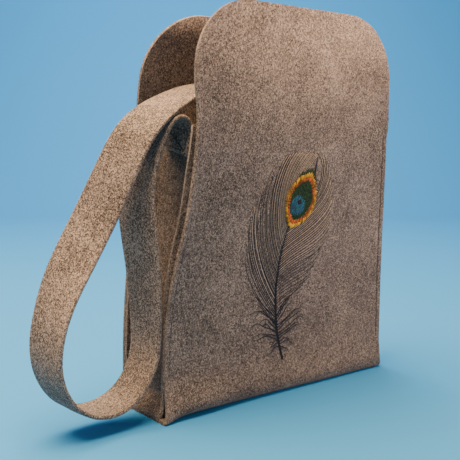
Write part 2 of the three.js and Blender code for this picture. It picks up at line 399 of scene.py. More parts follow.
def add_threads(name, paths, radii, material, normal, sides=5, flatten=0.8, tones=None):
    """Many threads in one mesh: an oval section carried along each path. Paths is an array of
    thread, point, xyz; radii is one radius, or one for each point of each thread; normal is the
    direction a thread is flattened in. The ends close to a small flat."""
    paths = np.asarray(paths, float)
    count, points = paths.shape[:2]
    radii = np.broadcast_to(np.asarray(radii, float), (count, points))
    tangent = np.gradient(paths, axis=1)
    tangent /= np.maximum(np.linalg.norm(tangent, axis=2, keepdims=True), 1e-12)
    normal = np.broadcast_to(np.asarray(normal, float), paths.shape)
    side = np.cross(tangent, normal)
    side /= np.maximum(np.linalg.norm(side, axis=2, keepdims=True), 1e-12)
    up = np.cross(side, tangent)
    angle = np.arange(sides) * math.tau / sides
    ring = (np.cos(angle)[:, None] * side[:, :, None] + flatten * np.sin(angle)[:, None] * up[:, :, None])
    places = paths[:, :, None] + radii[:, :, None, None] * ring
    quads = grid_faces(points, sides, closed=True)
    start = (np.arange(count) * points * sides)[:, None, None]
    body = (quads[None] + start).reshape(-1, 4).tolist()
    first = (np.arange(sides)[::-1][None] + start[:, 0]).tolist()
    last = (np.arange(sides)[None] + (points - 1) * sides + start[:, 0]).tolist()
    corner = places[0].reshape(-1, 3)[np.array(body[0])]
    outside = corner.mean(axis=0) - paths[0, :2].mean(axis=0)
    facing = np.cross(corner[1] - corner[0], corner[3] - corner[0]) @ outside
    faces = body + first + last
    if facing < 0:
        faces = [face[::-1] for face in faces]
    mesh = bpy.data.meshes.new(name)
    mesh.from_pydata(places.reshape(-1, 3).tolist(), [], faces)
    mesh.polygons.foreach_set("use_smooth", np.full(len(mesh.polygons), True))
    mesh.materials.append(material)
    piece = bpy.data.objects.new(name, mesh)
    bpy.context.scene.collection.objects.link(piece)
    if tones is None:
        tones = np.random.default_rng(len(name)).uniform(0, 1, count)
    paint(piece, "tone", np.repeat(tones, points * sides))
    return piece


def stitches(start, end, length, gap, radius, outward):
    """Separate stitches in a straight run: each rises out of the felt and dips back in at its
    ends. Gives their paths."""
    start, end = np.asarray(start, float), np.asarray(end, float)
    run = np.linalg.norm(end - start)
    count = max(1, int(run // (length + gap)))
    step = run / count
    along = (end - start) / run
    first = start + along * (np.arange(count)[:, None] * step + gap / 2)
    t = np.linspace(0, 1, 7)
    bow = np.sin(math.pi * t) ** 0.5 * radius * 1.1 - radius * 0.75
    return (first[:, None] + along * (t[None, :, None] * (step - gap))
            + np.asarray(outward, float) * bow[None, :, None])


# Materials.

class Nodes:
    """A short hand for wiring a material's nodes."""

    def __init__(self, name):
        self.material = bpy.data.materials.new(name)
        self.material.use_nodes = True
        self.tree = self.material.node_tree
        self.shader = self.tree.nodes["Principled BSDF"]

    def add(self, kind, inputs=None, **settings):
        node = self.tree.nodes.new(kind)
        for key, value in settings.items():
            setattr(node, key, value)
        for key, value in (inputs or {}).items():
            if isinstance(value, bpy.types.NodeSocket):
                self.tree.links.new(value, node.inputs[key])
            else:
                node.inputs[key].default_value = value
        return node

    def math(self, operation, a, b=0.0, c=0.0):
        return self.add("ShaderNodeMath", {0: a, 1: b, 2: c}, operation=operation).outputs[0]

    def noise(self, vector, scale, detail=2.0, roughness=0.5, distortion=0.0):
        return self.add("ShaderNodeTexNoise", {
            "Vector": vector, "Scale": scale, "Detail": detail,
            "Roughness": roughness, "Distortion": distortion}).outputs["Fac"]

    def blend(self, factor, a, b, mode="MIX"):
        node = self.add("ShaderNodeMix", data_type="RGBA", blend_type=mode)
        for socket, value in ((node.inputs[0], factor), (node.inputs[6], a), (node.inputs[7], b)):
            if isinstance(value, bpy.types.NodeSocket):
                self.tree.links.new(value, socket)
            else:
                socket.default_value = value
        return node.outputs[2]

    def shader_input(self, key, value):
        if isinstance(value, bpy.types.NodeSocket):
            self.tree.links.new(value, self.shader.inputs[key])
        else:
            self.shader.inputs[key].default_value = value


def rgba(colour, gain=1.0):
    return (colour[0] * gain, colour[1] * gain, colour[2] * gain, 1.0)


def felt_material(name, colours, gain=1.0, turn=0.0, rim=0.08, contrast=1.0):
    """Pressed wool: clouds of tone a few centimetres wide, a mottle of wool clumps, dark and
    light single fibres lying in crossing directions, and a matted surface. Near the cut edges
    the colour is painted paler by rim: partly the paler standing fibres, partly a painted highlight."""
    nodes = Nodes(name)
    place = nodes.add("ShaderNodeTexCoord").outputs["Object"]
    place = nodes.add("ShaderNodeMapping", {
        "Vector": place, "Rotation": (turn, turn * 0.6, turn * 1.7)}).outputs[0]
    clouds = nodes.noise(place, 26.0, 2.0)
    clumps = nodes.noise(place, 190.0, 2.0, 0.6)
    wander = nodes.add("ShaderNodeTexNoise", {"Vector": place, "Scale": 700.0}).outputs["Color"]
    bent = nodes.add("ShaderNodeVectorMath", {0: wander, 1: (0.0011, 0.0011, 0.0011)},
                     operation="MULTIPLY_ADD")
    nodes.tree.links.new(place, bent.inputs[2])
    flecks = []
    for rotation, stretch, scale in (
            ((0.3, 0.5, 0.2), (1.0, 1.0, 0.7), 1500.0),
            ((1.2, 0.1, 0.9), (1.0, 0.7, 1.0), 1900.0)):
        turned = nodes.add("ShaderNodeMapping", {
            "Vector": bent.outputs[0], "Rotation": rotation, "Scale": stretch}).outputs[0]
        cell = nodes.add("ShaderNodeTexVoronoi", {
            "Vector": turned, "Scale": scale, "Randomness": 1.0}).outputs["Color"]
        flecks.append(nodes.add("ShaderNodeSeparateColor", {0: cell}).outputs[0])
    grain = nodes.noise(place, 900.0, 1.0, 0.5)
    tone = nodes.math("MULTIPLY", nodes.math("ADD", flecks[0], flecks[1]), 0.5)
    tone = nodes.math("MULTIPLY_ADD", tone, 0.95, 0.025)
    tone = nodes.math("MULTIPLY_ADD", grain, 0.55, nodes.math("SUBTRACT", tone, 0.275))
    tone = nodes.math("MULTIPLY_ADD", clumps, 0.26, nodes.math("SUBTRACT", tone, 0.13))
    tone = nodes.math("MULTIPLY_ADD", clouds, 0.40, nodes.math("SUBTRACT", tone, 0.20))
    tone = nodes.math("MULTIPLY_ADD", tone, contrast, 0.5 - 0.5 * contrast)
    shades = nodes.add("ShaderNodeValToRGB", {"Fac": tone})
    ramp = shades.color_ramp
    ramp.elements[0].position = 0.12
    ramp.elements[0].color = rgba(colours.felt_dark, gain)
    ramp.elements[1].position = 0.92
    ramp.elements[1].color = rgba(colours.felt_light, gain)
    middle = ramp.elements.new(0.50)
    middle.color = rgba(colours.felt_mid, gain)
    colour = shades.outputs["Color"]
    # Painted highlight: toward the cut edges the colour is mixed toward the light wool, partly for the
    # paler standing fibres and partly as a painted rim highlight.
    edge_fuzz_and_highlight = nodes.add("ShaderNodeAttribute", attribute_name="raw_edge").outputs["Fac"]
    colour = nodes.blend(nodes.math("MULTIPLY", edge_fuzz_and_highlight, rim), colour, rgba(colours.felt_light, gain))
    nodes.shader_input("Base Color", colour)
    nodes.shader_input("Roughness", 0.96)
    nodes.shader_input("Specular IOR Level", 0.12)
    nodes.shader_input("Sheen Weight", 0.22)
    nodes.shader_input("Sheen Roughness", 0.55)
    height = nodes.math("MULTIPLY_ADD", flecks[0], 0.5, nodes.math("MULTIPLY", grain, 0.8))
    height = nodes.math("MULTIPLY_ADD", clumps, 1.2, height)
    matted = nodes.add("ShaderNodeBump", {
        "Strength": 0.4, "Distance": 0.0006, "Height": height}).outputs[0]
    nodes.shader_input("Normal", matted)
    return nodes.material


def thread_material(name, colour, roughness=0.55, sheen=0.25, spread=0.5):
    """Spun thread: each thread is a little lighter or darker than the next, with fine twisted
    plies in its colour and its surface."""
    nodes = Nodes(name)
    place = nodes.add("ShaderNodeTexCoord").outputs["Object"]
    tone = nodes.add("ShaderNodeAttribute", attribute_name="tone").outputs["Fac"]
    lint = nodes.noise(place, 1900.0, 2.0, 0.6)
    shade = nodes.math("MULTIPLY_ADD", tone, spread, 1 - spread / 2)
    shade = nodes.math("MULTIPLY", shade, nodes.math("MULTIPLY_ADD", lint, 0.9, 0.55))
    grey = nodes.add("ShaderNodeCombineColor", {"Red": shade, "Green": shade, "Blue": shade}).outputs[0]
    nodes.shader_input("Base Color", nodes.blend(1.0, rgba(colour), grey, "MULTIPLY"))
    nodes.shader_input("Roughness", roughness)
    nodes.shader_input("Specular IOR Level", 0.3)
    nodes.shader_input("Sheen Weight", sheen)
    plies = nodes.add("ShaderNodeBump", {
        "Strength": 0.5, "Distance": 0.0002, "Height": lint}).outputs[0]
    nodes.shader_input("Normal", plies)
    return nodes.material


def bag_felt(settings):
    return bpy.data.materials.get("bag felt") or felt_material("bag felt", settings.colours)


# The bag's walls.

def wall_columns(half):
    """Places across a wall from its left raw edge to its right: a row of columns 1 mm apart
    beside each edge, and wider ones between. Gives x for each row and column."""
    margin = np.linspace(0, 0.012, 13)
    share = np.linspace(0, 1, 86)[1:-1]
    left = -half[:, None] + margin[None] * np.minimum(1, half / 0.09)[:, None]
    right = -left[:, ::-1]
    middle = left[:, -1:] + share[None] * (right[:, :1] - left[:, -1:])
    return np.concatenate([left, middle, right], axis=1)


def wall_rows(top):
    """Heights up a wall from its bend to the top of its wing, crowding where the corners turn."""
    corner = top - WING_RADIUS
    straight = np.linspace(BEND_RADIUS, corner, 96)
    turning = corner + WING_RADIUS * np.sin(np.linspace(0, math.pi / 2, 34)[1:])
    return np.concatenate([straight, turning])


def build_wrap(name, face, top, sign, settings):
    """Half of the felt that runs from the base's middle line under the bag, round the lower
    bend, up a wall and on into its wing. Sign is -1 for the front and 1 for the back."""
    heights = wall_rows(top)
    wall_x = wall_columns(half_width(heights, top))
    wall_z = np.broadcast_to(heights[:, None], wall_x.shape)
    wall = np.stack([wall_x, face(wall_x, wall_z), wall_z], axis=-1)
    flat = BASE_DEPTH / 2 - BEND_RADIUS
    angle = np.linspace(0, math.pi / 2, 12)[1:-1]
    low_y = np.concatenate([np.linspace(0, flat, 10), flat + BEND_RADIUS * np.sin(angle)])
    low_z = np.concatenate([np.zeros(10), BEND_RADIUS * (1 - np.cos(angle))])
    base_x = np.broadcast_to(wall_x[:1], (len(low_y), wall_x.shape[1]))
    base = np.stack([base_x, np.broadcast_to(sign * low_y[:, None], base_x.shape),
                     np.broadcast_to(low_z[:, None], base_x.shape)], axis=-1)
    places = np.concatenate([base, wall]).copy()
    if sign < 0:
        places[..., 0] += tuck(places[..., 0], places[..., 2])
        places[..., 1] -= 0.0022 * np.exp(-(((places[..., 2] - 0.009) / 0.016) ** 2)) * (
            soft_step((-places[..., 1] - 0.022) / 0.010)) * (
            1 + 1.6 * np.exp(-(((places[..., 0] + 0.093) / 0.032) ** 2)))
        x, y, z = places[..., 0], places[..., 1], places[..., 2]
        near = soft_step(-y / 0.024) * (1 - soft_step(z / 0.045))
        places[..., 2] = z + base_lift(x) * near
        # Between the corners the bend is tighter, so the wall meets the floor in a firmer edge.
        share = share_across(x)
        slack = np.sqrt(np.clip(1 - (np.maximum(0, BEND_RADIUS - z) / BEND_RADIUS) ** 2, 0, 1))
        firm = 0.5 * soft_step((share - 0.08) / 0.2) + 0.25 * soft_step((share - 0.9) / 0.1)
        places[..., 1] -= firm * BEND_RADIUS * (1 - slack) * soft_step((-y - 0.010) / 0.014)
        # At the left corner the bend tightens to a point that is pushed out.
        gone = np.hypot(x + BASE_WIDTH / 2, z) / 0.011
        point = np.exp(-gone ** 2) * soft_step((-y - 0.012) / 0.012)
        places[..., 1] -= point * (0.0040 + 0.0060 * (1 - slack))
        places[..., 0] -= point * 0.0040
        places[..., 2] *= 1 - 0.75 * point * (z < BEND_RADIUS)
    rows, columns = places.shape[:2]
    piece = add_piece(name, places, grid_faces(rows, columns).tolist(), bag_felt(settings),
                      outward=(0, sign, -0.1))
    away = from_raw_edge(places[..., 0], places[..., 2], top)
    # The raw_edge number drives the paler fibres and the painted highlight along the cut edges.
    paint(piece, "raw_edge", np.exp(-np.maximum(away, 0) / RAW_EDGE_FADE))
    thicken(piece, settings.sizes.felt)
    return piece, places


class FELTBAG_OT_front(bpy.types.Operator):
    """Build the front of the bag with its standing wing"""
    bl_idname = "felt_bag.front"
    bl_label = "Front and wing"

    def execute(self, context):
        piece, places = build_wrap(
            "front_wrap", front_face, FRONT_TOP, -1, context.scene.felt_bag)
        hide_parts("front_panel", "front_fold", "front_wing", "bottom_panel")
        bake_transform(piece)
        return {"FINISHED"}


class FELTBAG_OT_back(bpy.types.Operator):
    """Build the back of the bag with its standing wing"""
    bl_idname = "felt_bag.back"
    bl_label = "Back and wing"

    def execute(self, context):
        piece, places = build_wrap(
            "back_wrap", back_face, BACK_TOP, 1, context.scene.felt_bag)
        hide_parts("back_panel", "back_fold", "back_wing", "bottom_panel")
        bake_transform(piece)
        return {"FINISHED"}


def build_gusset(name, side, settings):
    """A gusset's outer face. In plan it runs from its front raw edge in to a rounded corner,
    along the web and back out to its rear raw edge; each point is a fixed blend of those four
    corners at its height. The flanges splay from the walls, and the foot flares to the base."""
    felt = settings.sizes.felt
    foot = 0.0004
    heights = np.concatenate([foot + 0.019 * np.linspace(0, 1, 18) ** 1.3,
                              np.linspace(foot + 0.019, GUSSET_TOP, 78)[1:]])
    edge = BASE_WIDTH / 2 - SIDE_INSET * rise(heights)
    skin = 2 * felt + CLEARANCE

    inner = skin + 0.002 * (1 - soft_step(heights / 0.012))
    front = -BASE_DEPTH / 2 - FRONT_LEAN * rise(heights) + inner
    back = BASE_DEPTH / 2 - inner
    flare = -0.50 + 1.50 * soft_step((heights - 0.002) / 0.017)
    web = edge - FLANGE * flare
    along = soft_step((heights - 0.05) / 0.10) * (1 - 0.45 * soft_step((heights - 0.19) / 0.04))
    splay = 0.0052 * along if side < 0 else 0.0006 * along
    drawn = tuck(side * edge, heights)
    pulled = 0.0044 * np.exp(-((heights / 0.012) ** 2)) * (side < 0)
    proud = 0.0048 * (side > 0)
    reach_up = 0.010 * soft_step((heights - 0.17) / 0.06) * (side > 0)
    front_x = side * edge + drawn - pulled + proud
    corners = np.stack([
        np.stack([front_x, front + splay - pulled, heights + reach_up], axis=-1),
        np.stack([side * web + drawn, front, heights], axis=-1),
        np.stack([side * web, back, heights], axis=-1),
        np.stack([side * edge, back - 0.0015 * along, heights], axis=-1)], axis=1)
    t = np.linspace(0, 1, 8)[:, None]
    f, w = 0.62, 0.05
    first = np.concatenate([1 - f * t, f * t, 0 * t, 0 * t], axis=1)
    near_web = (1 - t) ** 2 * f + 2 * t * (1 - t) + t ** 2 * (1 - w)
    arc = np.concatenate([(1 - f) * (1 - t) ** 2, near_web, w * t ** 2, 0 * t], axis=1)[1:]
    s = np.linspace(w, 0.5, 20)[1:, None]
    middle = np.concatenate([0 * s, 1 - s, s, 0 * s], axis=1)
    half = np.concatenate([first, arc, middle])
    weights = np.concatenate([half, half[:-1, ::-1][::-1]])
    places = np.einsum("ck,rkx->rcx", weights, corners)
    across = np.linspace(-1, 1, weights.shape[0])[None]
    belly = np.clip(1 - across ** 4, 0, 1) * soft_step((heights - 0.03) / 0.15)[:, None]
    depth = 0.0094 if side < 0 else 0.0
    calm = soft_step((0.188 - heights) / 0.02)[:, None]
    places[..., 0] -= side * belly * (
        depth + calm * (0.0012 + 0.0009 * ripple(places[..., 1], places[..., 2], 0.06, 5)))
    rows, columns = places.shape[:2]
    piece = add_piece(name, places, grid_faces(rows, columns).tolist(), bag_felt(settings),
                      outward=(side, 0, 0))
    lengths = np.linalg.norm(np.diff(places, axis=1), axis=-1)
    along_row = np.concatenate([np.zeros((rows, 1)), np.cumsum(lengths, axis=1)], axis=1)
    away = np.minimum(along_row, along_row[:, -1:] - along_row)
    away = np.minimum(away, np.minimum(GUSSET_TOP - heights, heights - foot)[:, None])
    # The raw_edge number drives the paler fibres and the painted highlight along the cut edges.
    paint(piece, "raw_edge", np.exp(-np.maximum(away, 0) / RAW_EDGE_FADE))
    thicken(piece, felt, even=False)
    node = "gusset_left" if side < 0 else "gusset_right"
    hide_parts(node, node + "_foot")
    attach(piece, "bag")


class FELTBAG_OT_gussets(bpy.types.Operator):
    """Build the two side gussets with their turned-out flanges"""
    bl_idname = "felt_bag.gussets"
    bl_label = "Gussets"

    def execute(self, context):
        for side, word in ((-1, "left"), (1, "right")):
            build_gusset(f"side_gusset_{word}", side, context.scene.felt_bag)
        return {"FINISHED"}


# The strap.

def strap_frame(count):
    """The strap's middle line, its crosswise and outward directions, and its length."""
    line, length = spline(STRAP_ROUTE, count)
    centre, turn = line[:, :3], np.radians(line[:, 3])
    tangent = np.gradient(centre, axis=0)
    tangent /= np.linalg.norm(tangent, axis=1, keepdims=True)
    level = np.array([0, 1, 0]) - tangent * tangent[:, 1:2]
    level /= np.linalg.norm(level, axis=1, keepdims=True)
    normal = np.cross(tangent, level)
    across = np.cos(turn)[:, None] * level - np.sin(turn)[:, None] * normal
    return centre, across, np.cross(tangent, across), length


class FELTBAG_OT_strap(bpy.types.Operator):
    """Build the strap: one band of felt sewn to both gussets, with its hanging loop"""
    bl_idname = "felt_bag.strap"
    bl_label = "Strap"

    def execute(self, context):
        settings = context.scene.felt_bag
        width, felt = settings.sizes.strap_width, settings.sizes.felt
        centre, across, face, length = strap_frame(520)
        # A flat section with rounded edges: 22 places over each face and an arc round each edge.
        radius = felt * 0.5
        spread = np.linspace(-1, 1, 22) * (width / 2 - radius)
        arc = np.linspace(-math.pi / 2, math.pi / 2, 7)[1:-1]
        a = np.concatenate([spread, width / 2 - radius + radius * 0.75 * np.cos(arc),
                            spread[::-1], -(width / 2 - radius) - radius * 0.75 * np.cos(arc)])
        b = np.concatenate([np.full(22, -radius), radius * np.sin(arc),
                            np.full(22, radius), -radius * np.sin(arc)])
        run = np.linspace(0, length, len(centre))[:, None]
        free = soft_step((run - 0.045) / 0.03) * soft_step((length - 0.045 - run) / 0.03)
        wave = free * (0.0005 * np.sin(run / 0.031 + 2) * (a[None] / (width / 2)) ** 2
                       + 0.0006 * ripple(run, a[None] * 2, 0.07, 14))
        swell = 1 + 0.012 * np.sin(run / 0.043) * free
        places = (centre[:, None] + across[:, None] * (a[None] * swell)[..., None]
                  + face[:, None] * (b[None] + wave)[..., None])
        rows, columns = places.shape[:2]
        faces = grid_faces(rows, columns, closed=True).tolist()
        faces.append(list(range(columns))[::-1])
        faces.append([(rows - 1) * columns + k for k in range(columns)])
        # 0.14 is how strongly the strap's cut edges are painted paler: standing fibres and a painted
        # highlight.
        felt_surface = felt_material("strap felt", settings.colours, 1.14, 0.5, 0.14, 1.25)
        piece = add_piece("felt_strap", places, faces, felt_surface)
        ends = np.minimum(run, length - run)
        away = np.minimum(width / 2 - np.abs(a)[None], ends)
        # The raw_edge number drives the paler fibres and the painted highlight along the cut edges.
        paint(piece, "raw_edge", np.exp(-np.maximum(away, 0) / STRAP_EDGE_FADE))
        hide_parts("strap_left_end", "strap_return_fold", "strap_return_strand",
                    "strap_loop_bottom", "strap_outer_strand", "strap_rim_fold",
                    "strap_mouth_span", "strap_right_end")
        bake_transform(piece)
        return {"FINISHED"}


# Sewing.

def sew_to_bag(piece, node=None):
    """Hides the solid that a sewn piece stands for, when one is given, and hangs the piece on
    the bag."""
    if node:
        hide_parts(node)
    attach(piece, "bag")


def seam_line(side, z):
    """X of a side seam, a fixed way in from the wall's raw edge."""
    return side * (BASE_WIDTH / 2 - SIDE_INSET * rise(z) - SEAM_INSET)


def seam_stitches(face, sign, side, settings):
    """Stitches down one side seam, laid on the wall's outer face."""
    length, gap, radius = settings.sizes.stitch, STITCH_GAP, settings.sizes.seam_thread
    count = int((GUSSET_TOP - 0.016) // (length + gap))
    first = SEAM_FOOT + np.arange(count)[:, None] * (length + gap)
    t = np.linspace(0, 1, 7)[None]
    z = first + t * length
    x = seam_line(side, z)
    x = x + tuck(x, z) * (sign < 0)
    bow = np.sin(math.pi * t) ** 0.5 * radius * 1.2 - radius * 0.7
    return np.stack([x, face(x, z) + sign * bow, z], axis=-1)


class FELTBAG_OT_seams(bpy.types.Operator):
    """Sew the four side seams and the boxed crosses on the strap's ends"""
    bl_idname = "felt_bag.seams"
    bl_label = "Seams"

    def execute(self, context):
        settings = context.scene.felt_bag
        radius = settings.sizes.seam_thread
        thread = thread_material("seam thread", settings.colours.seam)
        for wall, face, sign in (("front", front_face, -1), ("back", back_face, 1)):
            for word, side in (("left", -1), ("right", 1)):
                paths = seam_stitches(face, sign, side, settings)
                piece = add_threads(f"seam_{wall}_{word}", paths, radius, thread, (0, sign, 0))
                sew_to_bag(piece, f"seam_thread_{wall}_{word}")
        for word, side in (("left", -1), ("right", 1)):
            samples = 2000
            centre, across, face, length = strap_frame(samples)
            low, high, half = 0.0030, 0.0195 if side < 0 else 0.0270, 0.0150
            corners = [(low, -half), (low, half), (high, half), (high, -half)]
            paths = []
            for start, end in ((0, 1), (1, 2), (2, 3), (3, 0), (0, 2), (1, 3)):
                ends = []
                for run, aside in (corners[start], corners[end]):
                    k = int(run / length * samples)
                    k = k if side < 0 else samples - 1 - k
                    out = face[k] * math.copysign(settings.sizes.felt / 2, side * face[k][0])
                    ends.append(centre[k] + across[k] * aside + out)
                paths.append(stitches(*ends, BOX_STITCH, BOX_GAP, radius * 1.15, (side, 0, 0)))
            piece = add_threads(f"strap_box_{word}", np.concatenate(paths), radius * 1.15, thread,
                                (side, 0, 0))
            sew_to_bag(piece, f"box_stitch_{word}")
        return {"FINISHED"}


# The embroidered feather.

def shaft_x(z):
    """X of the feather's shaft, a parabola through its foot."""
    t = (z - QUILL_FOOT) / (FEATHER_TIP - QUILL_FOOT)
    return -0.0023 - 0.063 * t + 0.086 * t ** 2


def on_front(x, z, lift):
    """Places on the front's outer face, raised by lift."""
    return np.stack([x, front_face(x, z) - lift, z], axis=-1)


def oval(angle):
    """The slanting oval the barbs reach: its top at angle 0, its left side at a quarter turn."""
    along, out = OVAL_LONG * np.cos(angle), OVAL_SHORT * np.sin(angle)
    x = OVAL_CENTRE[0] + along * math.sin(OVAL_SLANT) - out * math.cos(OVAL_SLANT)
    z = OVAL_CENTRE[1] + along * math.cos(OVAL_SLANT) + out * math.sin(OVAL_SLANT)
    return x, z


def bezier(p0, p1, p2, p3, points):
    """Cubic curves of four control points each, as an array of curve, point, coordinate."""
    t = np.linspace(0, 1, points)[None, :, None]
    p0, p1, p2, p3 = (np.asarray(p, float)[:, None] for p in (p0, p1, p2, p3))
    return (1 - t) ** 3 * p0 + 3 * t * (1 - t) ** 2 * p1 + 3 * t ** 2 * (1 - t) * p2 + t ** 3 * p3


def barb_curves(side, count, seed):
    """Barbs of one vane: each leaves the shaft at a slant, bends up along the oval and ends on
    it. The upper ones start together under the eye and pass round its side."""
    draw = np.random.default_rng(seed)
    t = np.linspace(0, 1, count)
    foot = 0.060 if side < 0 else 0.070
    start_z = foot + (SHAFT_TOP - foot) * np.minimum(1, t * 1.30) ** 0.9
    start_z = start_z + draw.normal(0, 0.0003, count)
    if side < 0:
        angle = np.radians(160 * (1 - t ** 0.45) - 12)
    else:
        angle = -np.radians(146 - 132 * t ** 0.75)
    end_x, end_z = oval(angle)
    reach = draw.normal(1, 0.022, count)
    start = np.stack([shaft_x(start_z), start_z], axis=-1)
    end = np.stack([end_x, end_z], axis=-1)
    middle = np.array(OVAL_CENTRE)
    end = middle + (end - middle) * reach[:, None]
    end[:, 1] = np.minimum(end[:, 1], FEATHER_TIP - 0.002 + draw.normal(0, 0.0008, count))
    span = np.linalg.norm(end - start, axis=1)[:, None]
    slant = np.radians(40 - 14 * t if side < 0 else 50 + 32 * t ** 3)
    leave = np.stack([side * np.sin(slant), np.cos(slant)], axis=-1)
    ahead_x, ahead_z = oval(angle + (-0.05 if side < 0 else 0.05))
    arrive = np.stack([ahead_x - end_x, ahead_z - end_z], axis=-1)
    arrive /= np.linalg.norm(arrive, axis=1, keepdims=True)
    straight = (end - start) / span
    pull = (0.75 - 0.50 * t ** 2 if side < 0 else 0.45 + 0.35 * t ** 2)[:, None]
    arrive = pull * arrive + (1 - pull) * straight
    return bezier(start, start + leave * span * 0.36, end - arrive * span * 0.36, end, BARB_POINTS), t


def down_curves(side, seed):
    """Wavy down at the feather's foot: short barbs that leave the shaft sideways and curl."""
    draw = np.random.default_rng(seed)
    count = 12
    t = np.linspace(0, 1, count)
    z = 0.041 + 0.027 * t
    reach = (0.009 + 0.019 * np.sin(math.pi * (0.12 + 0.62 * t))) * draw.uniform(0.5, 1.25, count)
    lift = -0.005 + 0.023 * t ** 0.8 + draw.normal(0, 0.0034, count)
    start = np.stack([shaft_x(z), z], axis=-1)
    end = start + np.stack([side * reach, lift], axis=-1)
    first = start + np.stack([side * reach * 0.35, lift * 0.1 + 0.003], axis=-1)
    second = start + np.stack([side * reach * 0.7, lift + 0.0045 - 0.002 * t], axis=-1)
    curves = bezier(start, first, second, end, BARB_POINTS)
    s = np.linspace(0, 1, BARB_POINTS)[None]
    curves[..., 1] += 0.0016 * np.sin(s * 8 + draw.uniform(0, 6, count)[:, None]) * s
    return curves


def almond(angle, size):
    """The eye's outline: an oval drawn to a soft point at both ends and slanted. Size is 1 on
    the gold ring's outer edge."""
    across = EYE_SHORT * np.sin(angle) * np.abs(np.sin(angle)) ** 0.60
    along = EYE_LONG * np.cos(angle)
    x = EYE_CENTRE[0] + size * (along * math.sin(EYE_SLANT) + across * math.cos(EYE_SLANT))
    z = EYE_CENTRE[1] + size * (along * math.cos(EYE_SLANT) - across * math.sin(EYE_SLANT))
    return x, z


def satin_ring(inner, outer, count, lift, seed, arc=math.tau):
    """Stitches laid side by side across a ring of the eye, or an arc of it round the top, each
    a little uneven in length."""
    draw = np.random.default_rng(seed)
    angle = np.linspace(-arc / 2, arc / 2, count, endpoint=False)
    lean = 0.05
    low = inner + draw.normal(0, 0.020, count)
    high = outer + draw.normal(0, 0.026, count)
    inner_x, inner_z = almond(angle, low)
    outer_x, outer_z = almond(angle + lean, high)
    t = np.linspace(0, 1, 5)[None]
    x = inner_x[:, None] * (1 - t) + outer_x[:, None] * t
    z = inner_z[:, None] * (1 - t) + outer_z[:, None] * t
    return on_front(x, z, lift + 0.0004 * np.sin(math.pi * t))


def satin_field(size, spacing, lift, seed, centre=(0.0, 0.0)):
    """Rows of short upright stitches that fill an almond of the given size, or a round patch
    when its centre is off the eye's."""
    draw = np.random.default_rng(seed)
    columns = np.arange(-EYE_SHORT * size, EYE_SHORT * size, spacing)
    paths = []
    for across in columns:
        share = abs(across) / (EYE_SHORT * size)
        if any(centre):
            reach = EYE_SHORT * size * draw.uniform(0.8, 1.25) * math.sqrt(max(0, 1 - share ** 2))
        else:
            reach = EYE_LONG * size * math.cos(math.asin(min(1, share ** 0.704)))
        length = 0.0040
        starts = np.arange(-reach + draw.uniform(-length * 0.5, 0), reach, length)
        for start in starts:
            low, high = max(start, -reach), min(start + length * 1.12, reach)
            if high - low < 0.0008:
                continue
            along = np.linspace(low, high, 5)
            x = (EYE_CENTRE[0] + centre[0] + along * math.sin(EYE_SLANT)
                 + across * math.cos(EYE_SLANT))
            z = (EYE_CENTRE[1] + centre[1] + along * math.cos(EYE_SLANT)
                 - across * math.sin(EYE_SLANT))
            hump = 0.0003 * np.sin(math.pi * np.linspace(0, 1, 5))
            paths.append(on_front(x, z, lift + hump))
    return np.array(paths)


def taper(count, points, radius, tip=0.25):
    """Thread radii that fall away toward the last point."""
    fall = 1 - (1 - tip) * np.linspace(0, 1, points) ** 2
    return np.broadcast_to(radius * fall, (count, points))


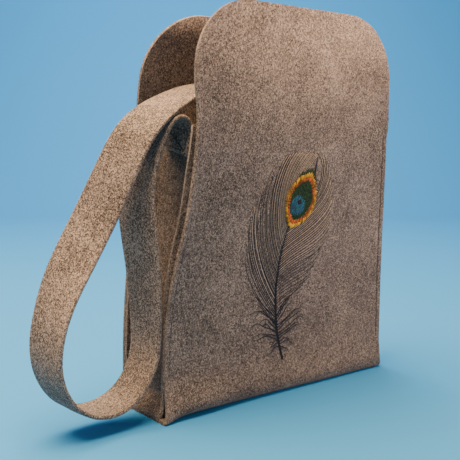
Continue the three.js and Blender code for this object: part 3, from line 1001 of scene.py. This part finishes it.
class FELTBAG_OT_feather(bpy.types.Operator):
    """Embroider the feather's shaft, barbs and down on the front"""
    bl_idname = "felt_bag.feather"
    bl_label = "Feather"

    def execute(self, context):
        settings = context.scene.felt_bag
        radius = settings.sizes.barb_thread
        colours = settings.colours
        navy = thread_material("navy thread", colours.navy, sheen=0.08, spread=0.7)
        cream = thread_material("cream thread", colours.cream, spread=0.5)
        out = (0, -1, 0)
        for word, side, count, seed in (("left", -1, settings.sizes.barbs, 3),
                                        ("right", 1, settings.sizes.barbs - 6, 8)):
            curves, share = barb_curves(side, count, seed)
            paths = on_front(curves[..., 0], curves[..., 1], radius * 0.35)
            thin_out = 1 - 0.35 * share[:, None] * (side < 0)
            thick = taper(count, BARB_POINTS, radius * 1.45, 0.5) * thin_out
            piece = add_threads(f"barbs_{word}", paths, thick, navy, out)
            sew_to_bag(piece, f"feather_vane_{word}")
            between = 0.5 * (curves[1:] + curves[:-1])
            every = np.arange(count - 1) % 2 == 0
            pale = between[(share[1:] > 0.12) & (every | (share[1:] > 0.60)) if side < 0
                           else share[1:] > 0.34]
            paths = on_front(pale[..., 0], pale[..., 1], radius * 0.30)
            piece = add_threads(f"pale_barbs_{word}", paths,
                                taper(len(pale), BARB_POINTS, radius * 0.68, 1.0), cream, out)
            sew_to_bag(piece)
            curves = down_curves(side, seed + 40)
            paths = on_front(curves[..., 0], curves[..., 1], radius * 0.5)
            thick = taper(len(curves), BARB_POINTS, radius * 2.1, 0.4)
            piece = add_threads(f"down_{word}", paths, thick, navy, out)
            sew_to_bag(piece, f"feather_down_{word}")
        # The shaft is five threads laid close together, thinning toward the eye.
        z = np.linspace(QUILL_FOOT, SHAFT_TOP + 0.004, 60)
        offsets = np.array([-0.0009, -0.00045, 0.0, 0.00045, 0.0009])[:, None]
        thin = 1 - 0.75 * np.linspace(0, 1, 60)[None] ** 2.0
        x = shaft_x(z)[None] + offsets * thin
        paths = on_front(x, np.broadcast_to(z, x.shape), radius * 0.9)
        thick = np.broadcast_to(radius * 1.5 * (0.4 + 0.6 * thin), x.shape)
        piece = add_threads("shaft", paths, thick, navy, out)
        sew_to_bag(piece, "feather_shaft")
        # Above the eye the shaft comes out again as a few threads that meet in the tip.
        fan = np.linspace(-0.0011, 0.0011, 6)
        controls = [np.stack([x + fan * width, np.full(6, z)], axis=-1) for x, z, width in SHAFT_TIP]
        curves = bezier(*controls, BARB_POINTS)
        paths = on_front(curves[..., 0], curves[..., 1], radius * 0.5)
        piece = add_threads("shaft_tip", paths, radius * 1.1, navy, out)
        sew_to_bag(piece)
        return {"FINISHED"}


class FELTBAG_OT_eye(bpy.types.Operator):
    """Embroider the feather's eye in satin stitch"""
    bl_idname = "felt_bag.eye"
    bl_label = "Feather eye"

    def execute(self, context):
        colours = context.scene.felt_bag.colours
        radius = context.scene.felt_bag.sizes.barb_thread
        out = (0, -1, 0)
        rings = (
            ("eye_gold", satin_ring(0.86, 1.0, 120, radius * 2.2, 31), "gold thread",
             colours.gold, "feather_eye_gold", "embroidery_gold"),
            ("eye_bronze", satin_ring(0.72, 0.90, 100, radius * 1.7, 32), "orange thread",
             colours.bronze, "feather_eye_bronze", "embroidery_bronze"),
            ("eye_green", satin_field(0.78, radius * 2.6, radius * 1.0, 33), "green thread",
             colours.green, "feather_eye_green", "embroidery_green"),
            ("eye_blue", satin_field(0.47, radius * 2.6, radius * 1.9, 34, (-0.0036, -0.0046)),
             "blue thread", colours.blue, "feather_eye_blue", "embroidery_blue"),
        )
        for name, paths, title, colour, node, slot in rings:
            thread = thread_material(title, colour, roughness=0.45, sheen=0.15, spread=1.5)
            piece = add_threads(name, paths, radius * 1.5, thread, out)
            sew_to_bag(piece, node)
        fringe = satin_ring(0.97, 1.14, 40, radius, 36, 1.8)
        piece = add_threads("eye_fringe", fringe, radius, bpy.data.materials["green thread"], out)
        sew_to_bag(piece)
        heart = satin_field(0.13, radius * 1.5, radius * 2.9, 35, (-0.0018, -0.0012))
        navy = bpy.data.materials["navy thread"]
        piece = add_threads("eye_heart", heart, radius * 1.1, navy, out)
        sew_to_bag(piece)
        return {"FINISHED"}


# The stage.

class FELTBAG_OT_stage(bpy.types.Operator):
    """Set up the floor, the studio light and the camera"""
    bl_idname = "felt_bag.stage"
    bl_label = "Stage"

    def execute(self, context):
        scene = context.scene
        nodes = Nodes("studio floor")
        # The camera sees a blue floor and every other ray a paler one, which no real floor does:
        # it keeps the floor's bounce from tinting the felt.
        seen = nodes.add("ShaderNodeLightPath").outputs["Is Camera Ray"]
        nodes.shader_input("Base Color", nodes.blend(
            seen, BOUNCE_COLOUR, rgba(scene.felt_bag.colours.floor)))
        nodes.shader_input("Roughness", 0.8)
        nodes.shader_input("Specular IOR Level", 0.2)
        # Floor and backdrop in one sweep: flat, then a wide quarter turn, then upright.
        angle = np.linspace(0, math.pi / 2, 24)
        run = np.concatenate([[-14.0, -1.0, 0.5], 1.6 + 0.8 * np.sin(angle), [2.4]])
        high = np.concatenate([[0, 0, 0], 0.8 - 0.8 * np.cos(angle), [5.0]])
        across = np.linspace(-14, 14, 2)
        lean = math.radians(38)
        x = across[None] * math.cos(lean) + run[:, None] * math.sin(lean)
        y = -across[None] * math.sin(lean) + run[:, None] * math.cos(lean)
        places = np.stack([x, y, np.broadcast_to(high[:, None], x.shape)], axis=-1)
        floor = add_piece("floor", places, grid_faces(len(run), 2).tolist(), nodes.material,
                          outward=(0, -0.3, 1))

        world = bpy.data.worlds.new("studio")
        world.use_nodes = True
        world.node_tree.nodes["Background"].inputs["Color"].default_value = WORLD_COLOUR
        world.node_tree.nodes["Background"].inputs["Strength"].default_value = WORLD_STRENGTH
        scene.world = world

        for name, place, aim, size, power, colour, spread in LAMPS:
            lamp = bpy.data.lights.new(name, "AREA")
            lamp.shape = "DISK"
            lamp.size = size
            lamp.energy = power
            lamp.color = colour
            lamp.spread = math.radians(spread)
            holder = bpy.data.objects.new(name, lamp)
            place, aim = Vector(place), Vector(aim)
            holder.location = place
            holder.rotation_mode = "QUATERNION"
            holder.rotation_quaternion = (aim - place).to_track_quat("-Z", "Y")
            scene.collection.objects.link(holder)

        camera = bpy.data.objects.new("camera", bpy.data.cameras.new("camera"))
        camera.data.sensor_width = SENSOR_WIDTH
        camera.data.lens = CAMERA_LENS
        camera.data.clip_start = 0.01
        camera.data.clip_end = 50
        turn, dip = math.radians(CAMERA_TURN), math.radians(CAMERA_DIP)
        back = Vector((math.sin(turn) * math.cos(dip), -math.cos(turn) * math.cos(dip),
                       math.sin(dip)))
        camera.location = CAMERA_PLACE
        camera.rotation_mode = "QUATERNION"
        camera.rotation_quaternion = (-back).to_track_quat("-Z", "Y")
        scene.collection.objects.link(camera)
        scene.camera = camera
        return {"FINISHED"}


class FeltBagSettings(bpy.types.PropertyGroup):
    sizes: PointerProperty(type=FeltBagSizes, name="Sizes", description="The bag's sizes")
    colours: PointerProperty(type=FeltBagColours, name="Colours", description="The bag's colours")


STEPS = (
    FELTBAG_OT_front, FELTBAG_OT_back, FELTBAG_OT_gussets, FELTBAG_OT_strap,
    FELTBAG_OT_seams, FELTBAG_OT_feather, FELTBAG_OT_eye, FELTBAG_OT_stage,
)


class FELTBAG_PT_panel(bpy.types.Panel):
    """Sidebar panel with the bag's sizes, colours and building steps"""
    bl_idname = "FELTBAG_PT_panel"
    bl_label = "Felt Bag"
    bl_space_type = "VIEW_3D"
    bl_region_type = "UI"
    bl_category = "Felt Bag"

    def draw(self, context):
        settings = context.scene.felt_bag
        for group in (settings.sizes, settings.colours):
            box = self.layout.box()
            for key in group.__annotations__:
                box.prop(group, key)
        for step in STEPS:
            self.layout.operator(step.bl_idname)


CLASSES = (FeltBagSizes, FeltBagColours, FeltBagSettings) + STEPS + (FELTBAG_PT_panel,)


def register():
    for item in CLASSES:
        bpy.utils.register_class(item)
    bpy.types.Scene.felt_bag = PointerProperty(type=FeltBagSettings)


def unregister():
    del bpy.types.Scene.felt_bag
    for item in reversed(CLASSES):
        bpy.utils.unregister_class(item)


def main():
    register()
    bpy.ops.felt_bag.front()
    bpy.ops.felt_bag.back()
    bpy.ops.felt_bag.gussets()
    bpy.ops.felt_bag.strap()
    bpy.ops.felt_bag.seams()
    bpy.ops.felt_bag.feather()
    bpy.ops.felt_bag.eye()
    bpy.ops.felt_bag.stage()


if __name__ == "__main__":
    main()
